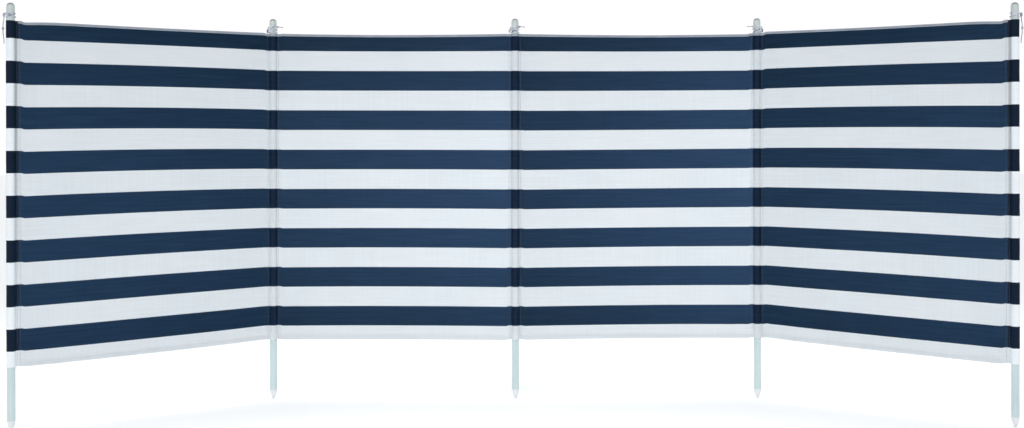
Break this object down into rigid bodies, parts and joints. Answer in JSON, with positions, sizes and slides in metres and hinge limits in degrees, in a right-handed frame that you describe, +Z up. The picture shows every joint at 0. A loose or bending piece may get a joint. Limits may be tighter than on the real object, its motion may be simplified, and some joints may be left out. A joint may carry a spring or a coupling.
{
  "type": "beach windbreak",
  "caption": "Free-standing striped cloth windbreak: bays of cloth between round poles with domed caps and ground spikes, folding at each pole.",
  "frame": {"origin": "centre of the blunt end of the middle pole's spike", "axes": "+X along the two middle bays, +Y towards the weather side, +Z up the poles; the end bays are turned towards -Y"},
  "size_m": [3.5565, 0.5618, 1.49],
  "materials": {
    "pole_coating": "satin plastic-coated steel tube",
    "pole_plastic": "moulded, half gloss",
    "striped_cloth": "close-woven synthetic cloth, navy and white stripes",
    "hem_tape": "folded and stitched edge tape",
    "guy_cord": "braided cord"
  },
  "bodies": {
    "middle_pole": {"pole_3_tube": "pole_coating", "pole_3_cap": "pole_plastic", "pole_3_spike": "pole_plastic", "pocket_3": "striped_cloth", "pole_3_lashing": "guy_cord"},
    "bay_1": {"pole_1_tube": "pole_coating", "pole_1_cap": "pole_plastic", "pole_1_spike": "pole_plastic", "pocket_1": "striped_cloth", "pole_1_lashing": "guy_cord", "pole_1_tail": "guy_cord", "pole_1_tail_knot": "guy_cord", "bay_1_cloth": "striped_cloth", "bay_1_top_hem": "hem_tape", "bay_1_bottom_hem": "striped_cloth"},
    "bay_2": {"pole_2_tube": "pole_coating", "pole_2_cap": "pole_plastic", "pole_2_spike": "pole_plastic", "pocket_2": "striped_cloth", "pole_2_lashing": "guy_cord", "bay_2_cloth": "striped_cloth", "bay_2_top_hem": "hem_tape", "bay_2_bottom_hem": "striped_cloth"},
    "bay_3": {"pole_4_tube": "pole_coating", "pole_4_cap": "pole_plastic", "pole_4_spike": "pole_plastic", "pocket_4": "striped_cloth", "pole_4_lashing": "guy_cord", "bay_3_cloth": "striped_cloth", "bay_3_top_hem": "hem_tape", "bay_3_bottom_hem": "striped_cloth"},
    "bay_4": {"pole_5_tube": "pole_coating", "pole_5_cap": "pole_plastic", "pole_5_spike": "pole_plastic", "pocket_5": "striped_cloth", "pole_5_lashing": "guy_cord", "pole_5_tail": "guy_cord", "pole_5_tail_knot": "guy_cord", "bay_4_cloth": "striped_cloth", "bay_4_top_hem": "hem_tape", "bay_4_bottom_hem": "striped_cloth"}
  },
  "joints": [
    {"name": "bay_2_fold", "type": "hinge", "parent": "middle_pole", "child": "bay_2", "pos_m": [0, 0, 0.8], "axis": [0, 0, -1], "range_deg": [0, 80]},
    {"name": "bay_3_fold", "type": "hinge", "parent": "middle_pole", "child": "bay_3", "pos_m": [0, 0, 0.8], "axis": [0, 0, 1], "range_deg": [0, 80]},
    {"name": "bay_1_fold", "type": "hinge", "parent": "bay_2", "child": "bay_1", "pos_m": [-0.95, 0, 0.8], "axis": [0, 0, 1], "range_deg": [-48.5, 126.5]},
    {"name": "bay_4_fold", "type": "hinge", "parent": "bay_3", "child": "bay_4", "pos_m": [0.95, 0, 0.8], "axis": [0, 0, -1], "range_deg": [-46, 129]}
  ]
}
